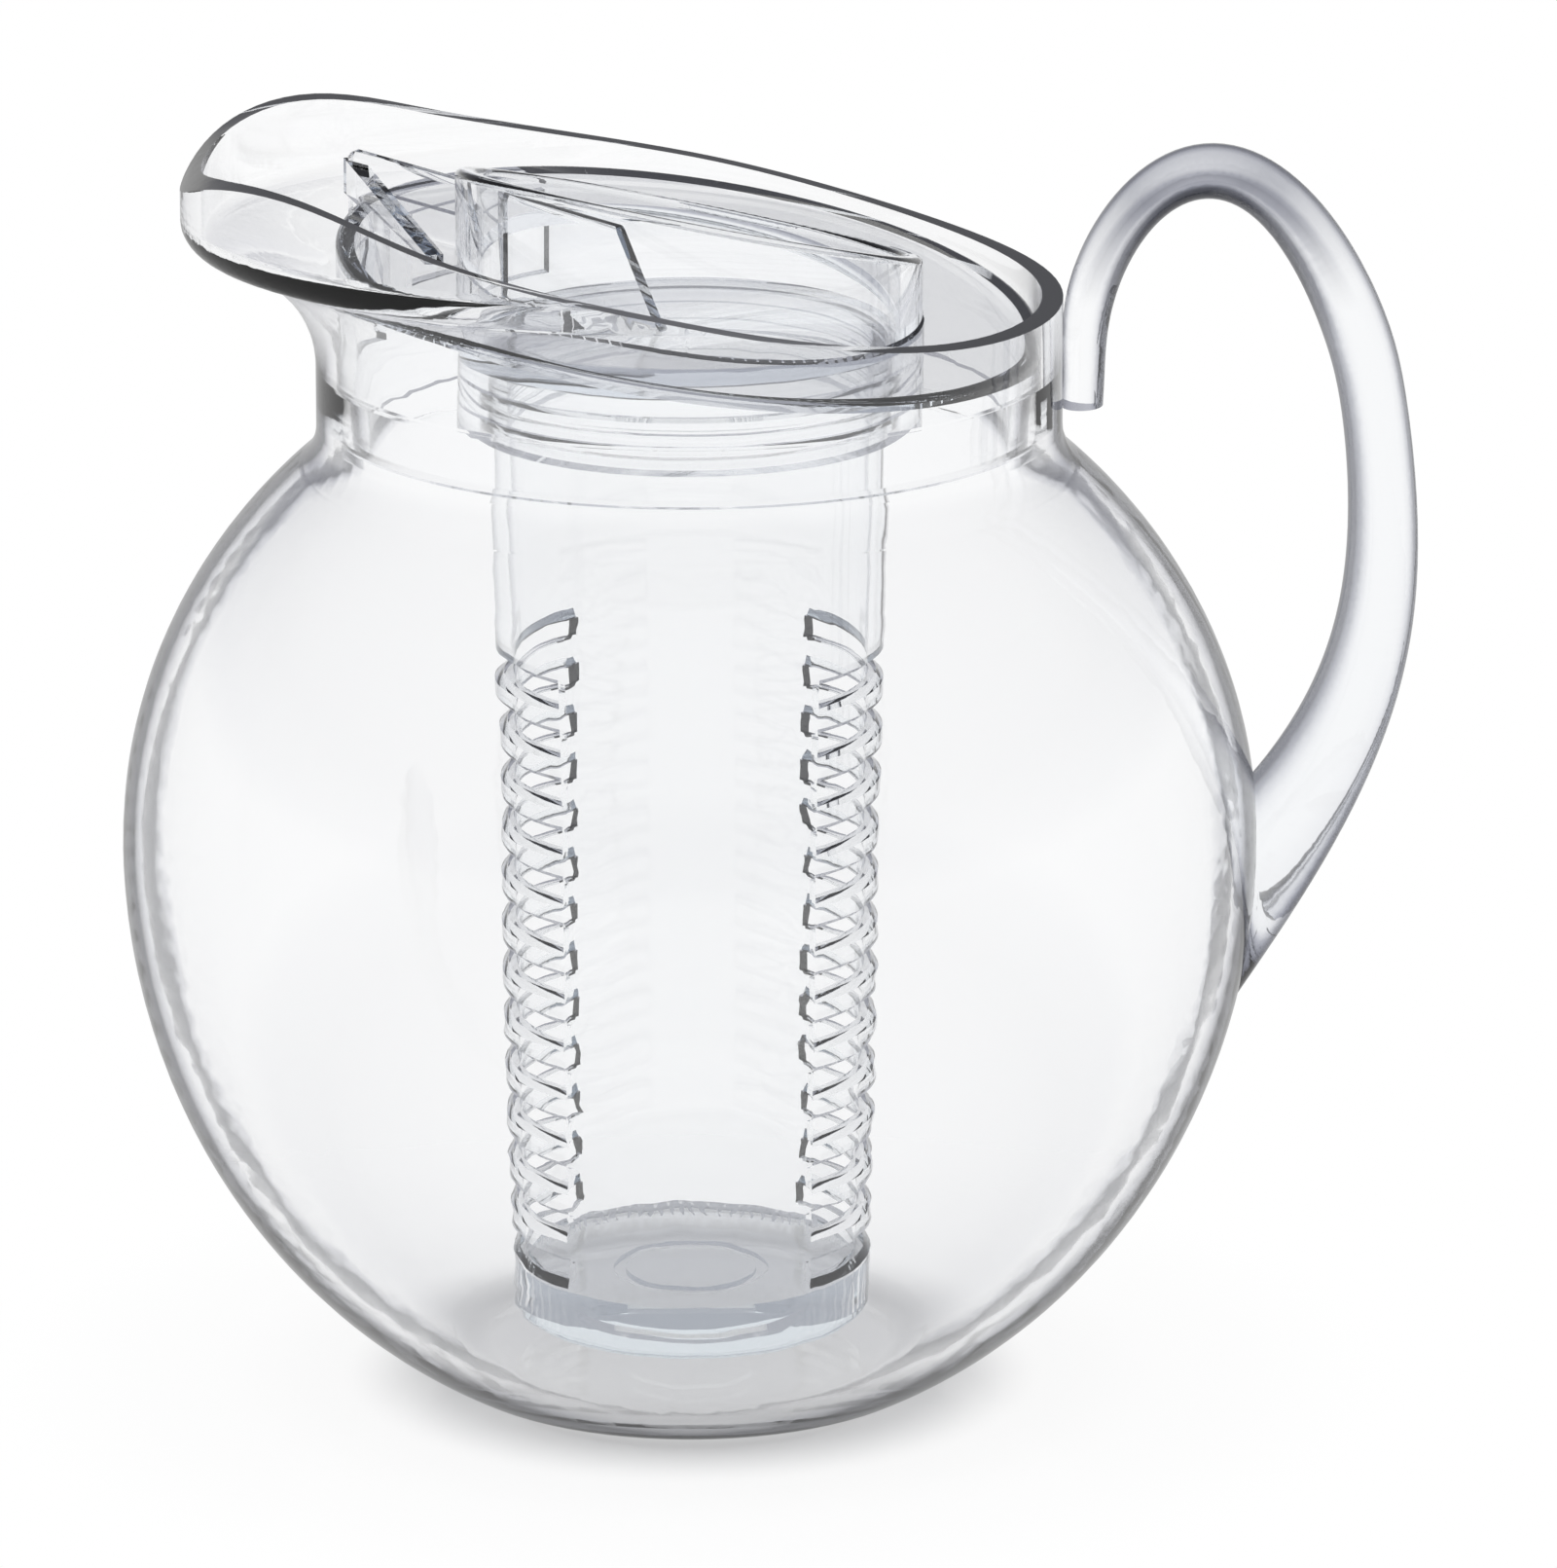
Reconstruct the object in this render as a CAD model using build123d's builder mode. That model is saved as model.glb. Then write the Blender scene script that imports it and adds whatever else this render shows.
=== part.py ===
import math
import os

from build123d import *

os.makedirs("parts", exist_ok=True)

# Globe: an ellipse below the widest point and a flatter one above it, standing on a flat base
belly_radius = 95.0
belly_height = 94.0
base_radius = 38.8
base_round = 14.0
shoulder_rise = 89.0
side_steps = 12
wall = 3.5
floor_thickness = 4.5

# Neck and spout
neck_radius = 62.0
neck_length = 14.6
neck_blend = 9.0
seat_taper = 1.3
spout_curl = 20.0
spout_turn = 83.5
lip_round = 5.0
flare_steps = 12
lip_steps = 4

# Rim line seen from the side. At the handle: distance out from the neck's wall, height above the neck.
# Over the axis: height above the neck. At the spout: distance out from the curl's centre, height above the lip.
rim_back_points = ((10.0, 11.2), (-16.0, 12.6))
rim_middle = 21.0
rim_spout_points = ((-36.0, 6.4), (-12.0, 11.6), (-3.0, 9.4), (4.0, 1.0))

# Handle, as a centre line seen from the side, the rod's thickness in that view and its width across.
# The hook is measured from the top of the neck's wall, the grip from the globe's widest point.
hook_stations = (
    (3.2, -7.5, 7.0, 8.5),
    (3.6, 5.0, 7.6, 9.5),
    (7.4, 19.0, 8.2, 10.5),
    (23.0, 32.3, 9.0, 12.0),
)
grip_stations = (
    (7.5, 103.5, 10.0, 13.0),
    (17.5, 81.0, 11.0, 14.0),
    (20.4, 56.0, 11.6, 15.0),
    (17.6, 30.0, 13.6, 16.5),
    (8.5, 9.0, 17.0, 18.5),
    (-8.0, -14.0, 23.0, 21.0),
    (-18.0, -27.5, 25.0, 22.0),
)

# Lid: a plug with a slanted deck, turned a little in the neck. The deck's height is above the neck's, on the axis.
# The well's own rim slants another way, and a wing braces the fin's front end on one side.
lid_turn = 25.0
lid_slope = 9.1
lid_clearance = 0.3
lid_depth = 10.0
lid_wall = 2.8
deck_round = 1.2
deck_height = 14.0
well_turn = -43.8
well_slope = 15.5
well_stand = 11.4
well_wall = 3.6
well_floor = 3.0
well_depth = 8.0
well_round = 1.2
window_low = 4.0
window_high = 16.0
window_from = 7.0
window_arc = 29.0
fin_thickness = 3.0
fin_round = 1.0
fin_rise = 6.0
fin_overhang = 4.2
fin_chin = 10.2
fin_end = 13.0
fin_heel = 8.0
fin_clearance = 1.4
wing_turn = 43.4
wing_length = 40.0
wing_drop = 1.5

# Infuser: a tapered tube with a thread drawn as plain rings, and two banks of slots
tube_top_radius = 33.2
tube_bottom_radius = 30.5
tube_wall = 2.6
tube_standoff = 6.5
tube_clearance = 0.35
tube_round = 1.2
thread_rise = 1.6
thread_width = 2.4
thread_crest = 1.2
thread_pitch = 5.0
thread_count = 2
thread_clearance = 0.3
thread_drop = 4.2
slot_pitch = 8.4
slot_height = 3.4
slot_flare = 1.1
slot_footroom = 13.0
slot_headroom = 50.0
slot_half_angle = 48.5
base_thickness = 9.0
base_ring_radius = 12.0
base_ring_width = 2.0
base_ring_depth = 1.0

# Values that follow from the driving dimensions
belly_drop = belly_height / math.sqrt(1 - (base_radius / belly_radius) ** 2)
neck_foot = belly_height + shoulder_rise * math.sqrt(1 - (neck_radius / belly_radius) ** 2)
neck_top = neck_foot + neck_length
neck_inner = neck_radius - wall
seat_radius = neck_inner - seat_taper
spout_centre = neck_radius + spout_curl
spout_lean = math.radians(spout_turn)
lip_height = neck_top + (spout_curl + lip_round) * math.sin(spout_lean)
lid_tangent = math.tan(math.radians(lid_slope))
lid_angle = math.radians(-lid_turn)
lid_bottom = neck_top - lid_depth
skirt_radius = neck_inner - lid_clearance
deck_top = neck_top + deck_height
well_top = deck_top + well_stand
floor_top = deck_top - well_depth
floor_under = floor_top - well_floor
tube_bottom = floor_thickness + tube_standoff
tube_top = floor_under - tube_clearance
thread_radius = tube_top_radius + thread_rise
socket_radius = tube_top_radius + tube_clearance
well_bore = thread_radius + thread_clearance
well_radius = well_bore + well_wall
tube_lean = (tube_top_radius - tube_bottom_radius) / (tube_top - tube_bottom)
slot_first = tube_bottom + slot_footroom
slot_count = 1 + math.floor((tube_top - slot_headroom - slot_first) / slot_pitch)


def globe_profile(radius, drop, rise, low, neck_low, neck_high, blend):
    """Half section of the globe and neck."""
    low_angle = math.asin((low - belly_height) / drop)
    neck_angle = math.acos(neck_low / radius)
    side_points = []
    for step in range(side_steps + 1):
        angle = low_angle + (neck_angle - low_angle) * step / side_steps
        height = (drop if angle < 0 else rise) * math.sin(angle)
        side_points.append((radius * math.cos(angle), belly_height + height))
    with BuildSketch(Plane.XZ) as profile:
        with BuildLine():
            side = Spline(*side_points)
            Polyline(side @ 1, (neck_high, neck_top), (0, neck_top), (0, low), side @ 0)
        make_face()
        fillet(profile.vertices().sort_by_distance(side @ 1)[0], blend)
        fillet(profile.vertices().sort_by_distance(side @ 0)[0], base_round)
    return profile.sketch


def mouth_section(reach, height, side):
    """Egg-shaped section: half a circle at the handle side, half an ellipse at the spout side."""
    with BuildSketch(Plane.XY.offset(height)) as section:
        with BuildLine():
            CenterArc((0, 0), side, -90, 180)
            EllipticalCenterArc((0, 0), reach, side, 90, arc_size=180)
        make_face()
    return section.sketch


def mouth_sections(curl, lip, side):
    """Sections up the spout in two runs: its underside curls outward, then its lip rounds back to upright."""
    lip_x = spout_centre - (curl + lip) * math.cos(spout_lean)
    lip_z = neck_top + (curl + lip) * math.sin(spout_lean)
    curl_sections = []
    for step in range(flare_steps + 1):
        turn = spout_lean * step / flare_steps
        reach = spout_centre - curl * math.cos(turn)
        curl_sections.append(mouth_section(reach, neck_top + curl * math.sin(turn), side))
    lip_sections = []
    for step in reversed(range(lip_steps + 1)):
        turn = spout_lean * step / lip_steps
        lip_sections.append(mouth_section(lip_x + lip * math.cos(turn), lip_z - lip * math.sin(turn), side))
    return curl_sections, lip_sections


def slanted(height, slope, turn):
    """Sloping plane at a height on the axis. It rises towards the spout, turned from it by an angle."""
    tilt = math.tan(math.radians(slope))
    side = math.radians(-turn)
    return Plane(origin=(0, 0, height), z_dir=(tilt * math.cos(side), tilt * math.sin(side), 1))


def tube_radius(height):
    """Outer radius of the infuser tube at a height."""
    return tube_bottom_radius + tube_lean * (height - tube_bottom)


# Outer form of the jug, before it is hollowed and its rim is cut
with BuildPart() as jug_form:
    outer_globe = globe_profile(
        belly_radius, belly_drop, shoulder_rise, 0, neck_radius, neck_radius, neck_blend
    )
    revolve(outer_globe, axis=Axis.Z)
    outer_curl, outer_lip = mouth_sections(spout_curl, lip_round, neck_radius)
    loft(outer_curl)
    loft(outer_lip)
    extrude(outer_lip[-1], amount=spout_curl)

with BuildPart() as jug_hollow:
    inner_globe = globe_profile(
        belly_radius - wall, belly_drop - floor_thickness, shoulder_rise - wall,
        floor_thickness, seat_radius, neck_inner, neck_blend + wall,
    )
    revolve(inner_globe, axis=Axis.Z)
    inner_curl, inner_lip = mouth_sections(spout_curl + wall, lip_round - wall, neck_inner)
    loft(inner_curl)
    loft(inner_lip)
    extrude(inner_lip[-1], amount=spout_curl)

with BuildPart() as pitcher_body:
    add(jug_form.part)
    add(jug_hollow.part, mode=Mode.SUBTRACT)
    rim_points = [(neck_radius + out, neck_top + up) for out, up in rim_back_points]
    rim_points.append((0, neck_top + rim_middle))
    rim_points.extend((-spout_centre - out, lip_height + up) for out, up in rim_spout_points)
    with BuildSketch(Plane.XZ):
        with BuildLine():
            rim_line = Spline(*rim_points)
            sky = lip_height + belly_radius
            Polyline(rim_line @ 1, ((rim_line @ 1).X, sky), ((rim_line @ 0).X, sky), rim_line @ 0)
        make_face()
    extrude(amount=belly_radius, both=True, mode=Mode.SUBTRACT)

with BuildPart() as handle:
    stations = [(neck_radius + out, neck_top + up, deep, wide) for out, up, deep, wide in hook_stations]
    stations.extend(
        (belly_radius + out, belly_height + up, deep, wide) for out, up, deep, wide in grip_stations
    )
    with BuildLine() as handle_line:
        Spline(*[(x, 0, z) for x, z, deep, wide in stations])
    rod = handle_line.edges()[0]
    rod_sections = []
    for x, z, deep, wide in stations:
        along = rod.tangent_at(rod.param_at_point((x, 0, z)))
        with BuildSketch(Plane(origin=(x, 0, z), x_dir=(0, 1, 0), z_dir=along)) as rod_section:
            Ellipse(wide / 2, deep / 2)
        rod_sections.append(rod_section.sketch)
    loft(rod_sections)
    add(jug_form.part, mode=Mode.SUBTRACT)


# The lid's skirt runs parallel to the neck's tapered inner wall
seat_height = belly_height + (shoulder_rise - wall) * math.sqrt(1 - (seat_radius / (belly_radius - wall)) ** 2)
skirt_foot = skirt_radius - seat_taper * lid_depth / (neck_top - seat_height)


def skirt_solid(inset, top):
    """Plug of the lid, cut along its slope, with its side drawn in by an inset."""
    with BuildPart() as plug:
        with BuildSketch(Plane.XZ) as half:
            Polygon(
                (0, lid_bottom), (skirt_foot - inset, lid_bottom), (skirt_radius - inset, neck_top),
                (skirt_radius - inset, top + skirt_radius), (0, top + skirt_radius), align=None,
            )
        revolve(half.sketch, axis=Axis.Z)
        split(bisect_by=slanted(top, lid_slope, lid_turn), keep=Keep.BOTTOM)
    return plug.part


with BuildPart() as lid_shell:
    add(skirt_solid(0, deck_top))
    fillet(lid_shell.faces().sort_by(Axis.Z)[-1].edges(), deck_round)
    add(skirt_solid(lid_wall, deck_top - lid_wall), mode=Mode.SUBTRACT)
    with Locations((0, 0, lid_bottom)):
        Cylinder(well_radius, belly_radius, align=(Align.CENTER, Align.CENTER, Align.MIN), mode=Mode.SUBTRACT)
    for start in (window_from, -window_from - window_arc):
        with BuildSketch(Plane.XZ.rotated((0, 0, 180 - lid_turn + start))) as window:
            with Locations((skirt_radius, neck_top + (window_low + window_high) / 2)):
                Rectangle(3 * lid_wall, window_high - window_low)
        revolve(window.sketch, axis=Axis.Z, revolution_arc=window_arc, mode=Mode.SUBTRACT)

# The fin's lower edge keeps clear of the spout's inner wall, where the turned lid brings it closest
fin_reach = skirt_radius + fin_overhang
fin_top = deck_top + fin_rise
bond = lid_wall / 2
wing_angle = lid_angle - math.radians(wing_turn)
tip_across = fin_reach * math.sin(lid_angle)
tip_along = fin_reach * math.cos(lid_angle) / math.sqrt(1 - (tip_across / neck_inner) ** 2)
tip_low = neck_top + math.sqrt((spout_curl + wall) ** 2 - (spout_centre - tip_along) ** 2) + fin_clearance

with BuildPart() as lid_fin:
    with BuildSketch(Plane.XZ.rotated((0, 0, -lid_turn))) as blade:
        Polygon(
            (-fin_end, fin_top + fin_end * lid_tangent),
            (-fin_reach, fin_top + fin_reach * lid_tangent),
            (-fin_reach, tip_low),
            (-skirt_radius, tip_low - fin_chin),
            (bond - skirt_radius, tip_low - fin_chin),
            (bond - skirt_radius, deck_top + skirt_radius * lid_tangent - bond),
            (-well_radius, deck_top + well_radius * lid_tangent - bond),
            (-well_bore, floor_top - bond),
            (fin_heel - fin_end, floor_top - bond),
            align=None,
        )
    extrude(blade.sketch, amount=fin_thickness / 2, both=True)
    fillet(lid_fin.faces().sort_by(Axis.Z)[-1].edges(), fin_round)
    wing_path = Plane(
        origin=(fin_reach * -math.cos(lid_angle), fin_reach * -math.sin(lid_angle), 0),
        x_dir=(math.cos(wing_angle), math.sin(wing_angle), 0),
        z_dir=(math.sin(wing_angle), -math.cos(wing_angle), 0),
    )
    wing_fall = wing_length * math.cos(math.radians(wing_turn)) * lid_tangent
    wing_foot = deck_top + fin_reach * lid_tangent - bond
    with BuildSketch(wing_path) as wing:
        Polygon(
            (0, wing_foot), (wing_length, wing_foot - wing_fall), (wing_length, wing_foot - wing_fall + 2 * bond),
            (0, fin_top + fin_reach * lid_tangent - wing_drop), align=None,
        )
    extrude(wing.sketch, amount=fin_thickness / 2, both=True)
    add(lid_shell.part, mode=Mode.SUBTRACT)

with BuildPart() as lid_well:
    with BuildSketch(Plane.XZ) as cup:
        Polygon(
            (0, floor_under), (socket_radius, floor_under), (socket_radius, lid_bottom), (well_radius, lid_bottom),
            (well_radius, well_top + well_radius), (well_bore, well_top + well_radius),
            (well_bore, floor_top), (0, floor_top), align=None,
        )
    revolve(cup.sketch, axis=Axis.Z)
    split(bisect_by=slanted(well_top, well_slope, well_turn), keep=Keep.BOTTOM)
    fillet(lid_well.faces().sort_by(Axis.Z)[-1].edges(), well_round)
    with BuildSketch(Plane.XZ) as grooves:
        for turn in range(thread_count):
            with Locations((tube_top_radius, tube_top - thread_drop - turn * thread_pitch)):
                Rectangle(2 * (well_bore - tube_top_radius), thread_width + 2 * thread_clearance)
    revolve(grooves.sketch, axis=Axis.Z, mode=Mode.SUBTRACT)
    add(lid_fin.part, mode=Mode.SUBTRACT)

with BuildPart() as infuser_tube:
    with BuildSketch(Plane.XZ) as tube_side:
        Polygon(
            (tube_bottom_radius - tube_wall, tube_bottom), (tube_bottom_radius, tube_bottom),
            (tube_top_radius, tube_top), (tube_top_radius - tube_wall, tube_top), align=None,
        )
        fillet(tube_side.vertices().sort_by_distance((tube_bottom_radius, tube_bottom))[0], tube_round)
        for turn in range(thread_count):
            ridge = tube_top - thread_drop - turn * thread_pitch
            root = tube_radius(ridge)
            Polygon(
                (root - tube_wall / 2, ridge - thread_width / 2), (root, ridge - thread_width / 2),
                (thread_radius, ridge - thread_crest / 2), (thread_radius, ridge + thread_crest / 2),
                (root, ridge + thread_width / 2), (root - tube_wall / 2, ridge + thread_width / 2), align=None,
            )
    revolve(tube_side.sketch, axis=Axis.Z)
    for side in (0, 180):
        with BuildSketch(Plane.XZ.rotated((0, 0, side - slot_half_angle))) as slots:
            for row in range(slot_count):
                middle = slot_first + row * slot_pitch
                edge = tube_radius(middle)
                throat = slot_height / 2
                mouth = slot_height / 2 + slot_flare
                Polygon(
                    (edge - 2 * tube_wall, middle - throat), (edge - tube_wall / 2, middle - throat),
                    (edge, middle - mouth), (edge + tube_wall, middle - mouth),
                    (edge + tube_wall, middle + mouth), (edge, middle + mouth),
                    (edge - tube_wall / 2, middle + throat), (edge - 2 * tube_wall, middle + throat), align=None,
                )
        revolve(slots.sketch, axis=Axis.Z, revolution_arc=2 * slot_half_angle, mode=Mode.SUBTRACT)

with BuildPart() as infuser_base:
    with BuildSketch(Plane.XZ) as disc:
        Polygon(
            (0, tube_bottom), (tube_bottom_radius - tube_wall, tube_bottom),
            (tube_radius(tube_bottom + base_thickness) - tube_wall, tube_bottom + base_thickness),
            (0, tube_bottom + base_thickness), align=None,
        )
        with Locations((base_ring_radius, tube_bottom)):
            Rectangle(base_ring_width, 2 * base_ring_depth, mode=Mode.SUBTRACT)
    revolve(disc.sketch, axis=Axis.Z)

for piece, name in (
    (pitcher_body, "pitcher_body"),
    (handle, "handle"),
    (lid_shell, "lid_shell"),
    (lid_well, "lid_well"),
    (lid_fin, "lid_fin"),
    (infuser_tube, "infuser_tube"),
    (infuser_base, "infuser_base"),
):
    piece.part.label = name
    export_step(piece.part, f"parts/{name}.step")
    print(name, piece.part.volume, piece.part.is_valid, len(piece.part.solids()), piece.part.bounding_box())
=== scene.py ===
import math

import bpy
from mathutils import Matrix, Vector


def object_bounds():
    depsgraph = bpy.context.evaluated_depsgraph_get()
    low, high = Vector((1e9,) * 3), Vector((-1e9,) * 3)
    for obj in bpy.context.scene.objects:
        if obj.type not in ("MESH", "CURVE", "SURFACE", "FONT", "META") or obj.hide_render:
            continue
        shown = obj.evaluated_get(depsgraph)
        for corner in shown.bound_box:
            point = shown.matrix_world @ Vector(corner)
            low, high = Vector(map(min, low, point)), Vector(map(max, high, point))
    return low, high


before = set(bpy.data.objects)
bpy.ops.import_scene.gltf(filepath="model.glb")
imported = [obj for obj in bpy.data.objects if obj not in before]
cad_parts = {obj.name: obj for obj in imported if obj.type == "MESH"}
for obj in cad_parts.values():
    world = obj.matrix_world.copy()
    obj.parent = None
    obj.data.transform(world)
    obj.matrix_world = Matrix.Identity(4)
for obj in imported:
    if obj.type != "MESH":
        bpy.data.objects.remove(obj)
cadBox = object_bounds()
scene = bpy.context.scene
scene.view_settings.view_transform = "Standard"
print("frame loaded:", ", ".join(sorted(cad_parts)))


# nodes are placed left to right by column, so a tree can be read when it is opened
nodeSpacing = (220, -180)


def addNode(tree, kind, column, row, **sockets):
    node = tree.nodes.new(kind)
    node.location = (column * nodeSpacing[0], row * nodeSpacing[1])
    for key, value in sockets.items():
        node.inputs[key.replace("_", " ")].default_value = value
    return node


def link(tree, source, target):
    tree.links.new(source, target)


def newGroup(name, inputs, outputs):
    group = bpy.data.node_groups.new(name, "ShaderNodeTree")
    for label, start in inputs.items():
        socket = group.interface.new_socket(label, in_out="INPUT", socket_type="NodeSocketFloat")
        socket.default_value = start
    for label in outputs:
        group.interface.new_socket(label, in_out="OUTPUT", socket_type="NodeSocketFloat")
    given = addNode(group, "NodeGroupInput", -2, 0)
    out = addNode(group, "NodeGroupOutput", 8, 0)
    return group, given.outputs, out.inputs


def mathNode(tree, operation, column, row, first, second):
    node = addNode(tree, "ShaderNodeMath", column, row)
    node.operation = operation
    for socket, value in zip(node.inputs, (first, second)):
        if isinstance(value, (int, float)):
            socket.default_value = value
        else:
            link(tree, value, socket)
    return node.outputs["Value"]


# the colour sockets of a Mix node share their names with others, so they are reached by number
colourSockets = {"first": 6, "second": 7, "result": 2}


def mixColours(tree, column, row, factor, first, second, blend="MIX"):
    node = addNode(tree, "ShaderNodeMix", column, row)
    node.data_type = "RGBA"
    node.blend_type = blend
    link(tree, factor, node.inputs["Factor"])
    link(tree, first, node.inputs[colourSockets["first"]])
    if isinstance(second, tuple):
        node.inputs[colourSockets["second"]].default_value = second
    else:
        link(tree, second, node.inputs[colourSockets["second"]])
    return node.outputs[colourSockets["result"]]


# grey with a little blue in it, the tone of the painted edge shade on the acrylic; every ramp is filled
# with it
coolShift = (-0.14, -0.11, 0.08)


def coolGrey(level):
    shade = 1.0 - level
    return (*(level * (1.0 + shift * shade) for shift in coolShift), 1.0)


def fillRamp(ramp, stops):
    elements = ramp.color_ramp.elements
    while len(elements) < len(stops):
        elements.new(0.5)
    for element, (place, level) in zip(elements, stops):
        element.position = place
        element.color = coolGrey(level)


# long soft waves that run up the wall, left by the flow of the melt in the mould
flowLook = {"stretch": (1.0, 1.0, 0.45), "detail": 1.0, "roughness": 0.35}


def makeMouldFlow(look):
    group, given, out = newGroup("mouldFlow", {"Waves": 30.0}, ["Height"])
    place = addNode(group, "ShaderNodeTexCoord", -1, 1)
    stretch = addNode(group, "ShaderNodeMapping", 0, 1)
    stretch.inputs["Scale"].default_value = look["stretch"]
    waves = addNode(group, "ShaderNodeTexNoise", 1, 0, Detail=look["detail"])
    waves.inputs["Roughness"].default_value = look["roughness"]
    link(group, place.outputs["Object"], stretch.inputs["Vector"])
    link(group, stretch.outputs["Vector"], waves.inputs["Vector"])
    link(group, given["Waves"], waves.inputs["Scale"])
    link(group, waves.outputs["Fac"], out["Height"])
    return group


# hair scratches in two crossing directions, from washing and wiping
scratchLook = {
    "turns": ((0.5, 0.2, 0.9), (1.2, 0.7, -0.6)),
    "stretch": (1.0, 26.0, 26.0),
    "level": 0.5,
    "width": 0.004,
}


def makeHairScratches(look):
    group, given, out = newGroup("hairScratches", {"Spacing": 60.0, "Amount": 0.5}, ["Mask"])
    place = addNode(group, "ShaderNodeTexCoord", -1, 1)
    masks = []
    for row, turn in enumerate(look["turns"]):
        spin = addNode(group, "ShaderNodeMapping", 0, row)
        spin.inputs["Rotation"].default_value = turn
        spin.inputs["Scale"].default_value = look["stretch"]
        streak = addNode(group, "ShaderNodeTexNoise", 1, row, Detail=0.0)
        link(group, place.outputs["Object"], spin.inputs["Vector"])
        link(group, spin.outputs["Vector"], streak.inputs["Vector"])
        link(group, given["Spacing"], streak.inputs["Scale"])
        ridge = mathNode(group, "SUBTRACT", 2, row, streak.outputs["Fac"], look["level"])
        ridge = mathNode(group, "ABSOLUTE", 3, row, ridge, 0.0)
        masks.append(mathNode(group, "LESS_THAN", 4, row, ridge, look["width"]))
    both = mathNode(group, "MAXIMUM", 5, 0, *masks)
    link(group, mathNode(group, "MULTIPLY", 6, 0, both, given["Amount"]), out["Mask"])
    return group


# soft patches that handling leaves on a polished surface
marksLook = {"detail": 2.0, "roughness": 0.6, "from": 0.55, "to": 0.75}


def makeHandMarks(look):
    group, given, out = newGroup("handMarks", {"Size": 45.0, "Amount": 0.5}, ["Mask"])
    place = addNode(group, "ShaderNodeTexCoord", -1, 0)
    cloud = addNode(group, "ShaderNodeTexNoise", 0, 0, Detail=look["detail"])
    cloud.inputs["Roughness"].default_value = look["roughness"]
    link(group, place.outputs["Object"], cloud.inputs["Vector"])
    link(group, given["Size"], cloud.inputs["Scale"])
    patch = addNode(group, "ShaderNodeMapRange", 1, 0, From_Min=look["from"], From_Max=look["to"])
    link(group, cloud.outputs["Fac"], patch.inputs["Value"])
    link(group, mathNode(group, "MULTIPLY", 2, 0, patch.outputs["Result"], given["Amount"]), out["Mask"])
    return group


mouldFlow = makeMouldFlow(flowLook)
hairScratches = makeHairScratches(scratchLook)
handMarks = makeHandMarks(marksLook)
print("finish groups made: flow, scratches, hand marks")


# painted shade on a bent rod: the side that faces the middle of its loop is painted greyer, most of all
# under its bend, and a soft grey streak is painted along the top of the bend as a painted reflection of
# dark surroundings
def paintedLoopShade(tree, loop, facing, outerTone):
    place = addNode(tree, "ShaderNodeTexCoord", -3, 5)
    away = addNode(tree, "ShaderNodeVectorMath", -2, 5)
    away.operation = "SUBTRACT"
    away.inputs[1].default_value = loop["middle"]
    along = addNode(tree, "ShaderNodeVectorMath", -1, 5)
    along.operation = "NORMALIZE"
    side = addNode(tree, "ShaderNodeVectorMath", 0, 5)
    side.operation = "DOT_PRODUCT"
    link(tree, place.outputs["Object"], away.inputs[0])
    link(tree, away.outputs["Vector"], along.inputs[0])
    link(tree, along.outputs["Vector"], side.inputs[0])
    link(tree, place.outputs["Normal"], side.inputs[1])
    low, high = loop["side"]
    inside = addNode(tree, "ShaderNodeMapRange", 1, 5, From_Min=low, From_Max=high)
    link(tree, side.outputs["Value"], inside.inputs["Value"])
    split = addNode(tree, "ShaderNodeSeparateXYZ", -2, 6)
    low, high = loop["bend"]
    bend = addNode(tree, "ShaderNodeMapRange", -1, 6, From_Min=low, From_Max=high)
    bend.inputs["To Min"].default_value = 1.0
    bend.inputs["To Max"].default_value = loop["underBendShadeGain"]
    link(tree, place.outputs["Object"], split.inputs["Vector"])
    link(tree, split.outputs["Z"], bend.inputs["Value"])
    ramp = addNode(tree, "ShaderNodeValToRGB", 2, 5)
    fillRamp(ramp, loop["stops"])
    link(tree, mathNode(tree, "MULTIPLY", 1, 6, facing, bend.outputs["Result"]), ramp.inputs["Fac"])
    tone = mixColours(tree, 3, 5, inside.outputs["Result"], outerTone, ramp.outputs["Color"])
    across = addNode(tree, "ShaderNodeMapRange", 1, 7, From_Min=-1.0, From_Max=1.0)
    streak = addNode(tree, "ShaderNodeValToRGB", 2, 7)
    fillRamp(streak, loop["paintedStreakStops"])
    low, high = loop["streak"]
    top = addNode(tree, "ShaderNodeMapRange", 2, 6, From_Min=low, From_Max=high)
    link(tree, side.outputs["Value"], across.inputs["Value"])
    link(tree, across.outputs["Result"], streak.inputs["Fac"])
    link(tree, split.outputs["Z"], top.inputs["Value"])
    return mixColours(tree, 4, 5, top.outputs["Result"], tone, streak.outputs["Color"], "MULTIPLY")


# the painted edge shade is paler on the thin walls high up than on the wide wall below
def paleEdgeShadeAbove(tree, crown, facing, lowerTone):
    place = addNode(tree, "ShaderNodeTexCoord", -2, 4)
    split = addNode(tree, "ShaderNodeSeparateXYZ", -1, 4)
    low, high = crown["rise"]
    height = addNode(tree, "ShaderNodeMapRange", 0, 4, From_Min=low, From_Max=high)
    ramp = addNode(tree, "ShaderNodeValToRGB", 2, 4)
    fillRamp(ramp, crown["stops"])
    link(tree, place.outputs["Object"], split.inputs["Vector"])
    link(tree, split.outputs["Z"], height.inputs["Value"])
    link(tree, facing, ramp.inputs["Fac"])
    return mixColours(tree, 3, 4, height.outputs["Result"], lowerTone, ramp.outputs["Color"])
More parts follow.
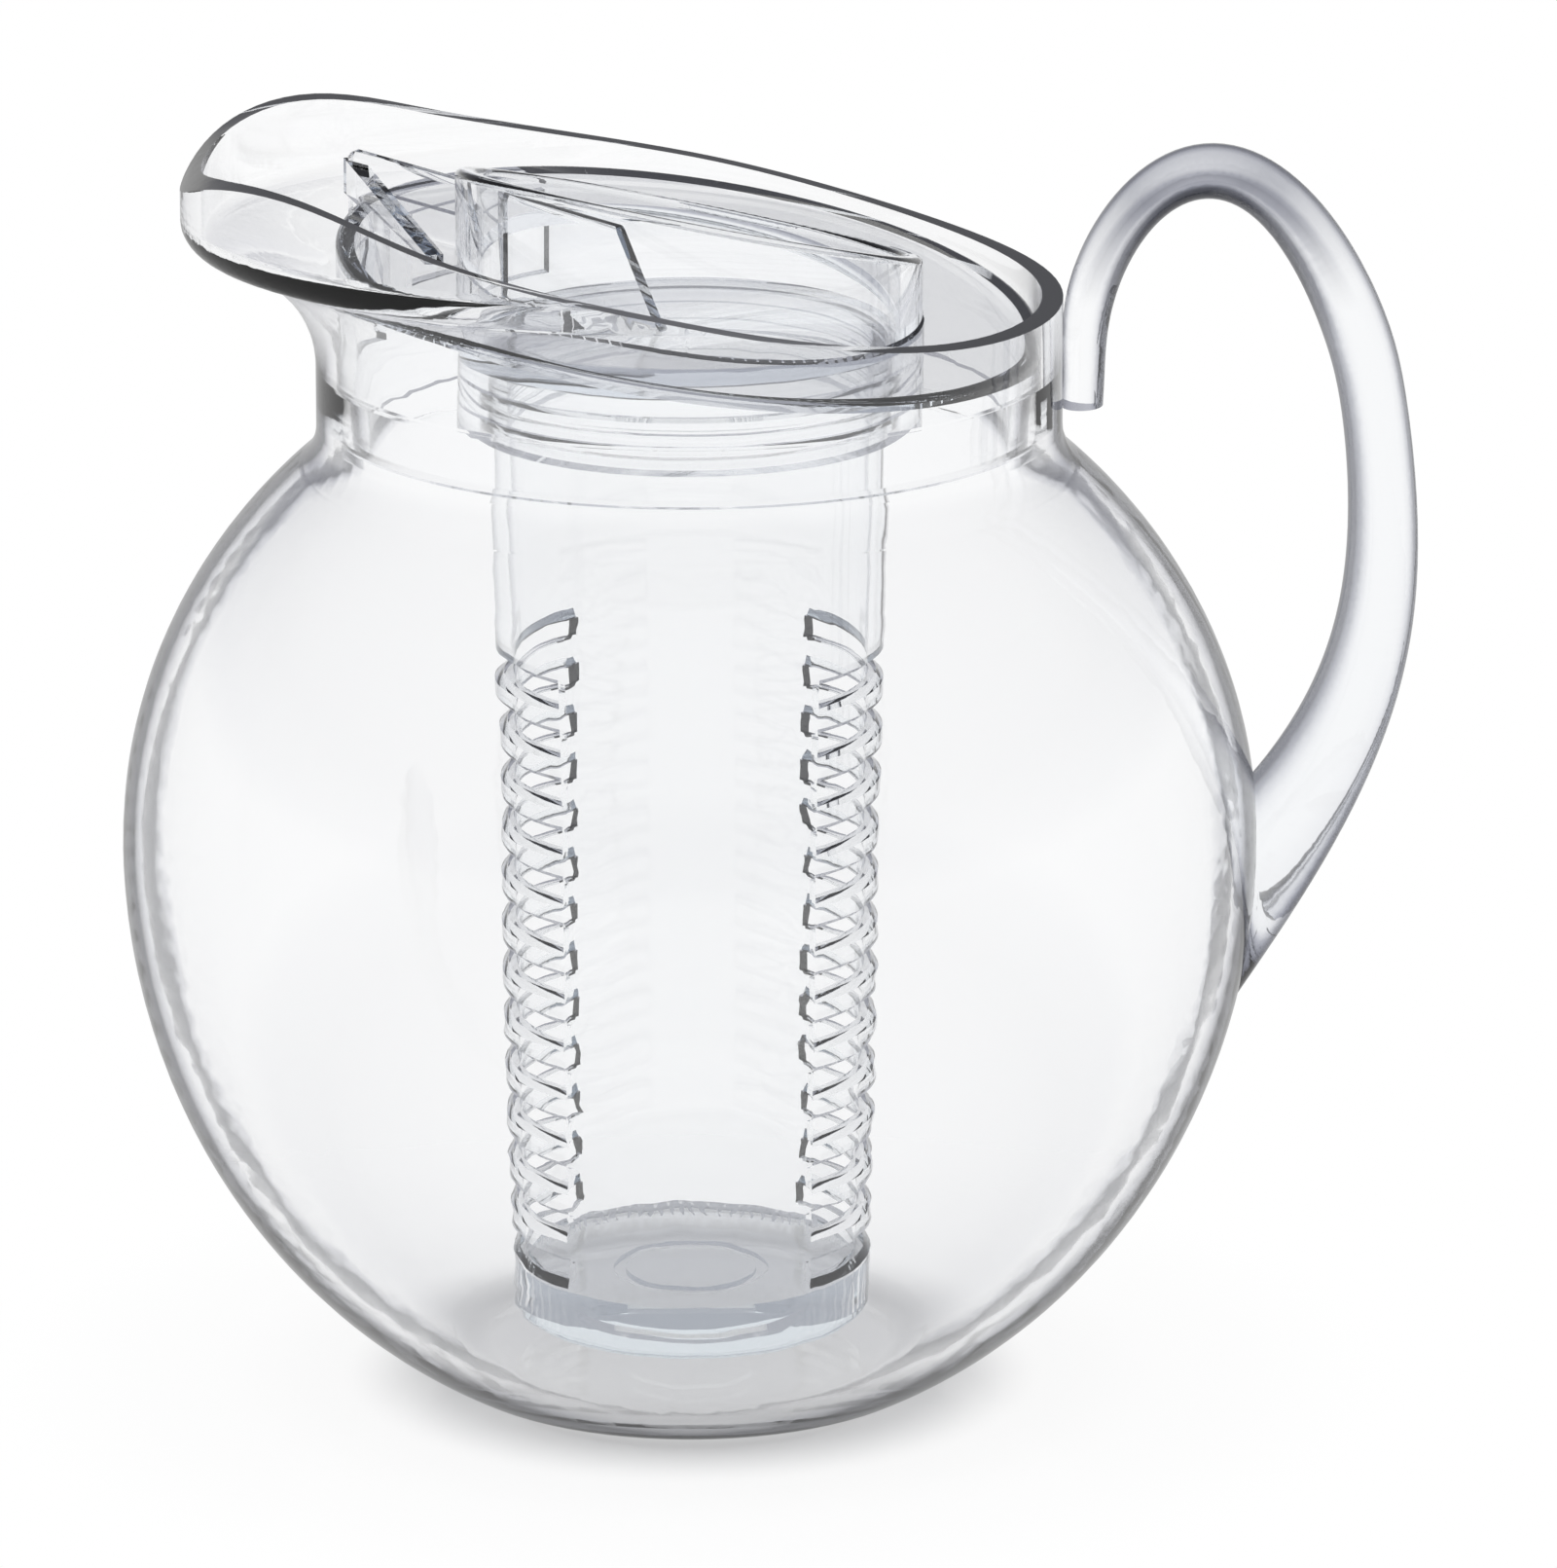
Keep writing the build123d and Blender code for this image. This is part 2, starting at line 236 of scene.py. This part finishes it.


# polished acrylic: white face on, painted shade that turns grey where the wall is seen edge on, a faint
# tint through its depth
def clearAcrylic(name, look):
    material = bpy.data.materials.new(name)
    material.use_nodes = True
    tree = material.node_tree
    tree.nodes.clear()
    output = addNode(tree, "ShaderNodeOutputMaterial", 7, 0)
    shader = addNode(tree, "ShaderNodeBsdfPrincipled", 6, 0, Metallic=0.0, IOR=look["ior"])
    shader.inputs["Transmission Weight"].default_value = 1.0
    depth = addNode(tree, "ShaderNodeVolumeAbsorption", 6, 3, Color=look["depthTint"])
    depth.inputs["Density"].default_value = look["depthDensity"]
    # painted shade: the base colour turns grey, near black, as the wall turns edge on
    edge = addNode(tree, "ShaderNodeLayerWeight", 1, 0, Blend=0.5)
    ramp = addNode(tree, "ShaderNodeValToRGB", 2, 0)
    fillRamp(ramp, look["edgeShadeStops"])
    link(tree, edge.outputs["Facing"], ramp.inputs["Fac"])
    tone = ramp.outputs["Color"]
    if "crown" in look:
        tone = paleEdgeShadeAbove(tree, look["crown"], edge.outputs["Facing"], tone)
    if "loop" in look:
        tone = paintedLoopShade(tree, look["loop"], edge.outputs["Facing"], tone)
    link(tree, tone, shader.inputs["Base Color"])

    marks = addNode(tree, "ShaderNodeGroup", 1, 1)
    marks.node_tree = handMarks
    marks.inputs["Size"].default_value = look["markSize"]
    marks.inputs["Amount"].default_value = look["markHaze"]
    scratches = addNode(tree, "ShaderNodeGroup", 1, 2)
    scratches.node_tree = hairScratches
    scratches.inputs["Spacing"].default_value = look["scratchSpacing"]
    scratches.inputs["Amount"].default_value = look["scratchHaze"]
    haze = mathNode(tree, "MULTIPLY", 3, 1, marks.outputs["Mask"], scratches.outputs["Mask"])
    soft = mathNode(tree, "MULTIPLY", 3, 2, marks.outputs["Mask"], look["markShare"])
    link(tree, mathNode(tree, "ADD", 4, 1, haze, soft), shader.inputs["Roughness"])

    flow = addNode(tree, "ShaderNodeGroup", 1, 3)
    flow.node_tree = mouldFlow
    flow.inputs["Waves"].default_value = look["flowWaves"]
    bump = addNode(tree, "ShaderNodeBump", 4, 2, Strength=1.0, Distance=look["flowDepth"])
    link(tree, flow.outputs["Height"], bump.inputs["Height"])
    link(tree, bump.outputs["Normal"], shader.inputs["Normal"])
    link(tree, shader.outputs["BSDF"], output.inputs["Surface"])
    link(tree, depth.outputs["Volume"], output.inputs["Volume"])
    return material


def dress(names, material):
    for name in names:
        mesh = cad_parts[name].data
        mesh.materials.clear()
        mesh.materials.append(material)


# what all the mouldings share
acrylicLook = {
    "ior": 1.49,
    "depthTint": (0.62, 0.70, 0.80, 1.0),
    "depthDensity": 6.0,
    "markSize": 34.0,
    "markHaze": 1.0,
    "markShare": 0.015,
    "scratchSpacing": 34.0,
    "scratchHaze": 0.12,
    "flowWaves": 24.0,
    "flowDepth": 0.00004,
}

# globe and spout, one moulding
jugLook = dict(
    acrylicLook,
    # painted edge shade, by how far the wall is turned edge on
    edgeShadeStops=(
        (0.0, 1.0), (0.55, 0.995), (0.66, 0.985), (0.72, 0.96),
        (0.76, 0.60), (0.80, 0.05), (1.0, 0.01),
    ),
    # crown: the painted edge shade is paler above this height
    crown={
        "rise": (0.178, 0.190),
        "stops": ((0.0, 1.0), (0.60, 0.99), (0.76, 0.94), (0.84, 0.78), (0.92, 0.52), (1.0, 0.34)),
    },
)
jugAcrylic = clearAcrylic("jugAcrylic", jugLook)
dress(["pitcher_body"], jugAcrylic)
print("jug dressed")

# bent rod handle, solid right through and handled most
rodLook = dict(
    acrylicLook,
    # painted edge shade of the rod
    edgeShadeStops=(
        (0.0, 1.0), (0.30, 0.98), (0.42, 0.86), (0.52, 0.55),
        (0.62, 0.20), (0.75, 0.09), (1.0, 0.05),
    ),
    # loop: painted shade on the inner side and under the bend, and a painted dark streak along the top
    # of the bend
    loop={
        "middle": (0.088, 0.0, 0.155),
        "side": (0.25, -0.35),  # outer side to inner side
        "stops": (
            (0.0, 1.0), (0.05, 0.985), (0.12, 0.90), (0.20, 0.70),
            (0.32, 0.34), (0.48, 0.10), (1.0, 0.02),
        ),
        "bend": (0.180, 0.206),
        "underBendShadeGain": 2.4,
        "streak": (0.186, 0.202),
        "paintedStreakStops": (
            (0.0, 1.0), (0.44, 1.0), (0.51, 0.46), (0.65, 0.30),
            (0.73, 0.50), (0.80, 1.0), (1.0, 1.0),
        ),
    },
    depthDensity=8.0,
    markSize=70.0,
    markShare=0.03,
    flowWaves=40.0,
    flowDepth=0.00005,
)
rodAcrylic = clearAcrylic("rodAcrylic", rodLook)
dress(["handle"], rodAcrylic)
print("handle dressed")

# plug lid with its well and fin
lidLook = dict(
    acrylicLook,
    # painted edge shade of the lid
    edgeShadeStops=((0.0, 1.0), (0.60, 0.99), (0.76, 0.96), (0.84, 0.86), (0.92, 0.58), (1.0, 0.35)),
    depthDensity=10.0,
    flowWaves=48.0,
    flowDepth=0.00005,
)
lidAcrylic = clearAcrylic("lidAcrylic", lidLook)
dress(["lid_shell", "lid_well", "lid_fin"], lidAcrylic)
print("lid dressed")

# infuser tube and its thick foot disc
infuserLook = dict(
    acrylicLook,
    # painted edge shade of the tube and foot
    edgeShadeStops=((0.0, 1.0), (0.60, 0.98), (0.75, 0.92), (0.83, 0.60), (0.91, 0.25), (1.0, 0.10)),
    depthTint=(0.58, 0.72, 0.80, 1.0),
    depthDensity=9.0,
    flowWaves=36.0,
)
infuserAcrylic = clearAcrylic("infuserAcrylic", infuserLook)
dress(["infuser_tube", "infuser_base"], infuserAcrylic)
print("infuser dressed")


# what the camera sees, straight, mirrored or through the acrylic, and how bright a mirror image is
def shownLight(tree, rays, mirrored):
    shown = mathNode(tree, "MAXIMUM", 1, 2, rays["Is Camera Ray"], rays["Is Glossy Ray"])
    shown = mathNode(tree, "MAXIMUM", 2, 2, shown, rays["Is Transmission Ray"])
    dim = mathNode(tree, "MULTIPLY", 1, 3, rays["Is Reflection Ray"], 1.0 - mirrored)
    return shown, mathNode(tree, "SUBTRACT", 2, 3, 1.0, dim)


# pale floor: it takes the shadow and a faint mirror image near the base, where a share of white glow
# paints light into that shadow, and is plain white further out
floorLook = {
    "half": 6.0,
    "drop": 0.0003,
    "colour": (0.95, 0.95, 0.955, 1.0),
    "gloss": 0.16,
    "reach": 0.2,
    # share of white glow by distance: painted light lifts the shadow under and near the base, with less
    # of it at the base's edge
    "floorGlowStops": ((0.0, 0.64), (0.17, 0.62), (0.20, 0.44), (0.30, 0.92), (0.42, 0.96), (0.62, 1.0)),
    "mirrored": 0.6,
}


def makeFloor(look):
    half = look["half"]
    mesh = bpy.data.meshes.new("floor")
    corners = [(-half, -half, 0), (half, -half, 0), (half, half, 0), (-half, half, 0)]
    mesh.from_pydata(corners, [], [(0, 1, 2, 3)])
    floor = bpy.data.objects.new("floor", mesh)
    floor.location.z = cadBox[0][2] - look["drop"]
    scene.collection.objects.link(floor)
    material = bpy.data.materials.new("paleFloor")
    material.use_nodes = True
    tree = material.node_tree
    tree.nodes.clear()
    output = addNode(tree, "ShaderNodeOutputMaterial", 6, 0)
    blend = addNode(tree, "ShaderNodeMixShader", 5, 0)
    near = addNode(tree, "ShaderNodeBsdfPrincipled", 4, 0, Base_Color=look["colour"])
    near.inputs["Roughness"].default_value = look["gloss"]
    far = addNode(tree, "ShaderNodeEmission", 4, 3)
    place = addNode(tree, "ShaderNodeTexCoord", 0, 1)
    reach = addNode(tree, "ShaderNodeVectorMath", 1, 1)
    reach.operation = "LENGTH"
    span = addNode(tree, "ShaderNodeMapRange", 2, 1, From_Max=look["reach"])
    fade = addNode(tree, "ShaderNodeValToRGB", 3, 1)
    fade.color_ramp.interpolation = "EASE"
    fillRamp(fade, look["floorGlowStops"])
    rays = addNode(tree, "ShaderNodeLightPath", 0, 2).outputs
    shown, strength = shownLight(tree, rays, look["mirrored"])
    link(tree, place.outputs["Object"], reach.inputs[0])
    link(tree, reach.outputs["Value"], span.inputs["Value"])
    link(tree, span.outputs["Result"], fade.inputs["Fac"])
    link(tree, mathNode(tree, "MULTIPLY", 4, 1, fade.outputs["Color"], shown), blend.inputs["Fac"])
    link(tree, strength, far.inputs["Strength"])
    link(tree, near.outputs["BSDF"], blend.inputs[1])
    link(tree, far.outputs["Emission"], blend.inputs[2])
    link(tree, blend.outputs["Shader"], output.inputs["Surface"])
    mesh.materials.append(material)


makeFloor(floorLook)
print("floor laid")

# white surroundings with a dark ceiling, which draws dark edges in clear acrylic
skyLook = {
    "white": (1.0, 1.0, 1.0, 1.0),
    "fill": (0.97, 0.98, 1.0, 1.0),
    "fillStrength": 0.85,
    "heights": ((0.0, 1.0), (0.05, 1.0), (0.16, 0.64), (0.35, 0.36), (1.0, 0.42)),
    "mirrored": 0.6,
}


def makeSky(look):
    world = bpy.data.worlds.new("studio")
    scene.world = world
    world.use_nodes = True
    tree = world.node_tree
    tree.nodes.clear()
    output = addNode(tree, "ShaderNodeOutputWorld", 6, 0)
    blend = addNode(tree, "ShaderNodeMixShader", 5, 0)
    fill = addNode(tree, "ShaderNodeBackground", 4, 0, Color=look["fill"], Strength=look["fillStrength"])
    room = addNode(tree, "ShaderNodeBackground", 4, 1)
    place = addNode(tree, "ShaderNodeTexCoord", 0, 1)
    split = addNode(tree, "ShaderNodeSeparateXYZ", 1, 1)
    ramp = addNode(tree, "ShaderNodeValToRGB", 2, 1)
    fillRamp(ramp, look["heights"])
    rays = addNode(tree, "ShaderNodeLightPath", 0, 2).outputs
    shown, strength = shownLight(tree, rays, look["mirrored"])
    link(tree, place.outputs["Generated"], split.inputs["Vector"])
    link(tree, split.outputs["Z"], ramp.inputs["Fac"])
    tone = mixColours(tree, 3, 1, rays["Is Camera Ray"], ramp.outputs["Color"], look["white"])
    link(tree, tone, room.inputs["Color"])
    link(tree, strength, room.inputs["Strength"])
    link(tree, shown, blend.inputs["Fac"])
    link(tree, fill.outputs["Background"], blend.inputs[1])
    link(tree, room.outputs["Background"], blend.inputs[2])
    link(tree, blend.outputs["Shader"], output.inputs["Surface"])


makeSky(skyLook)
print("surroundings made")

# two large soft boxes that light the floor, kept out of the acrylic's own reflections
boxLook = {
    "keyLight": {"from": (-1.1, -0.9, 1.5), "size": (0.9, 1.2), "power": 7.0},
    "rimLight": {"from": (1.3, 0.7, 1.0), "size": (0.5, 1.3), "power": 3.0},
}
aimPoint = Vector((0.0, 0.0, (cadBox[0][2] + cadBox[1][2]) / 2))
for name, look in boxLook.items():
    lamp = bpy.data.lights.new(name, "AREA")
    lamp.shape = "RECTANGLE"
    lamp.size, lamp.size_y = look["size"]
    lamp.energy = look["power"]
    holder = bpy.data.objects.new(name, lamp)
    holder.location = look["from"]
    holder.rotation_euler = (aimPoint - holder.location).to_track_quat("-Z", "Y").to_euler()
    holder.visible_glossy = False
    holder.visible_transmission = False
    scene.collection.objects.link(holder)
print("light set")

# camera: long lens, looking a little down, spout to the left
viewLook = {
    "aim": (0.0148, 0.0, 0.103),
    "elevation": 16.0,
    "distance": 2.2,
    "frameWidth": 0.2608,
    "sensor": 36.0,
    "reach": 50.0,
}


def makeCamera(look):
    data = bpy.data.cameras.new("camera")
    data.sensor_fit = "HORIZONTAL"
    data.sensor_width = look["sensor"]
    data.lens = look["sensor"] * look["distance"] / look["frameWidth"]
    data.clip_end = look["reach"]
    camera = bpy.data.objects.new("camera", data)
    lift = math.radians(look["elevation"])
    away = Vector((0.0, -math.cos(lift), math.sin(lift)))
    camera.location = Vector(look["aim"]) + away * look["distance"]
    camera.rotation_euler = (-away).to_track_quat("-Z", "Y").to_euler()
    scene.collection.objects.link(camera)
    scene.camera = camera


makeCamera(viewLook)
print("camera set")

# light passes through many walls before it comes out again
bounceLook = {"any": 32, "through": 32, "mirrored": 6, "inside": 0}
scene.cycles.max_bounces = bounceLook["any"]
scene.cycles.transmission_bounces = bounceLook["through"]
scene.cycles.glossy_bounces = bounceLook["mirrored"]
scene.cycles.volume_bounces = bounceLook["inside"]
